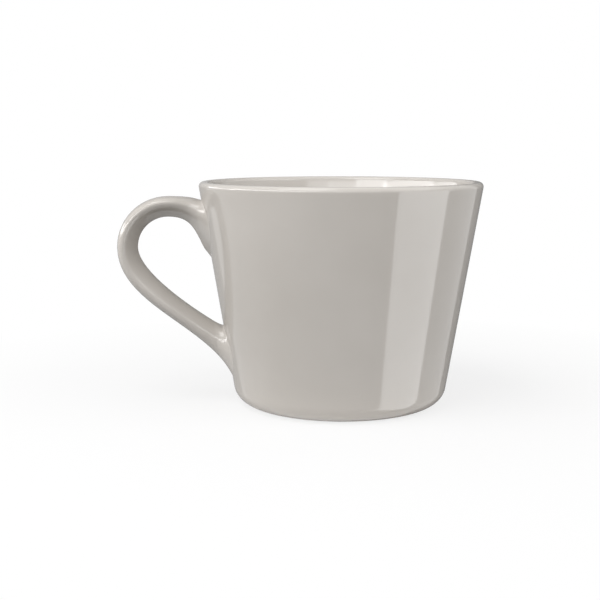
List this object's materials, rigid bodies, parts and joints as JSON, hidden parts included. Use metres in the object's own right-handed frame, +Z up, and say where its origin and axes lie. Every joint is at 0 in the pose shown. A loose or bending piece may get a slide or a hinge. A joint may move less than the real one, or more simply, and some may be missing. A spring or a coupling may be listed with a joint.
{
  "type": "coffee cup",
  "caption": "Conical coffee cup in glazed stoneware with a round lip, a rounded base on a foot ring, and a looped ear handle joined to the wall with slip.",
  "frame": {"origin": "on the table plane, under the middle of the part's own box", "axes": "+Z up along the cup's axis, -X towards the handle, which lies in the XZ plane"},
  "size_m": [0.1304, 0.1012, 0.08],
  "materials": {
    "glazed_stoneware": "glossy warm light-grey glaze",
    "fired_slip": "fired clay slip under the same glaze"
  },
  "bodies": {
    "root": {"cup_body": "glazed_stoneware", "handle": "glazed_stoneware", "upper_slip_pad": "fired_slip", "lower_slip_pad": "fired_slip"}
  },
  "joints": []
}
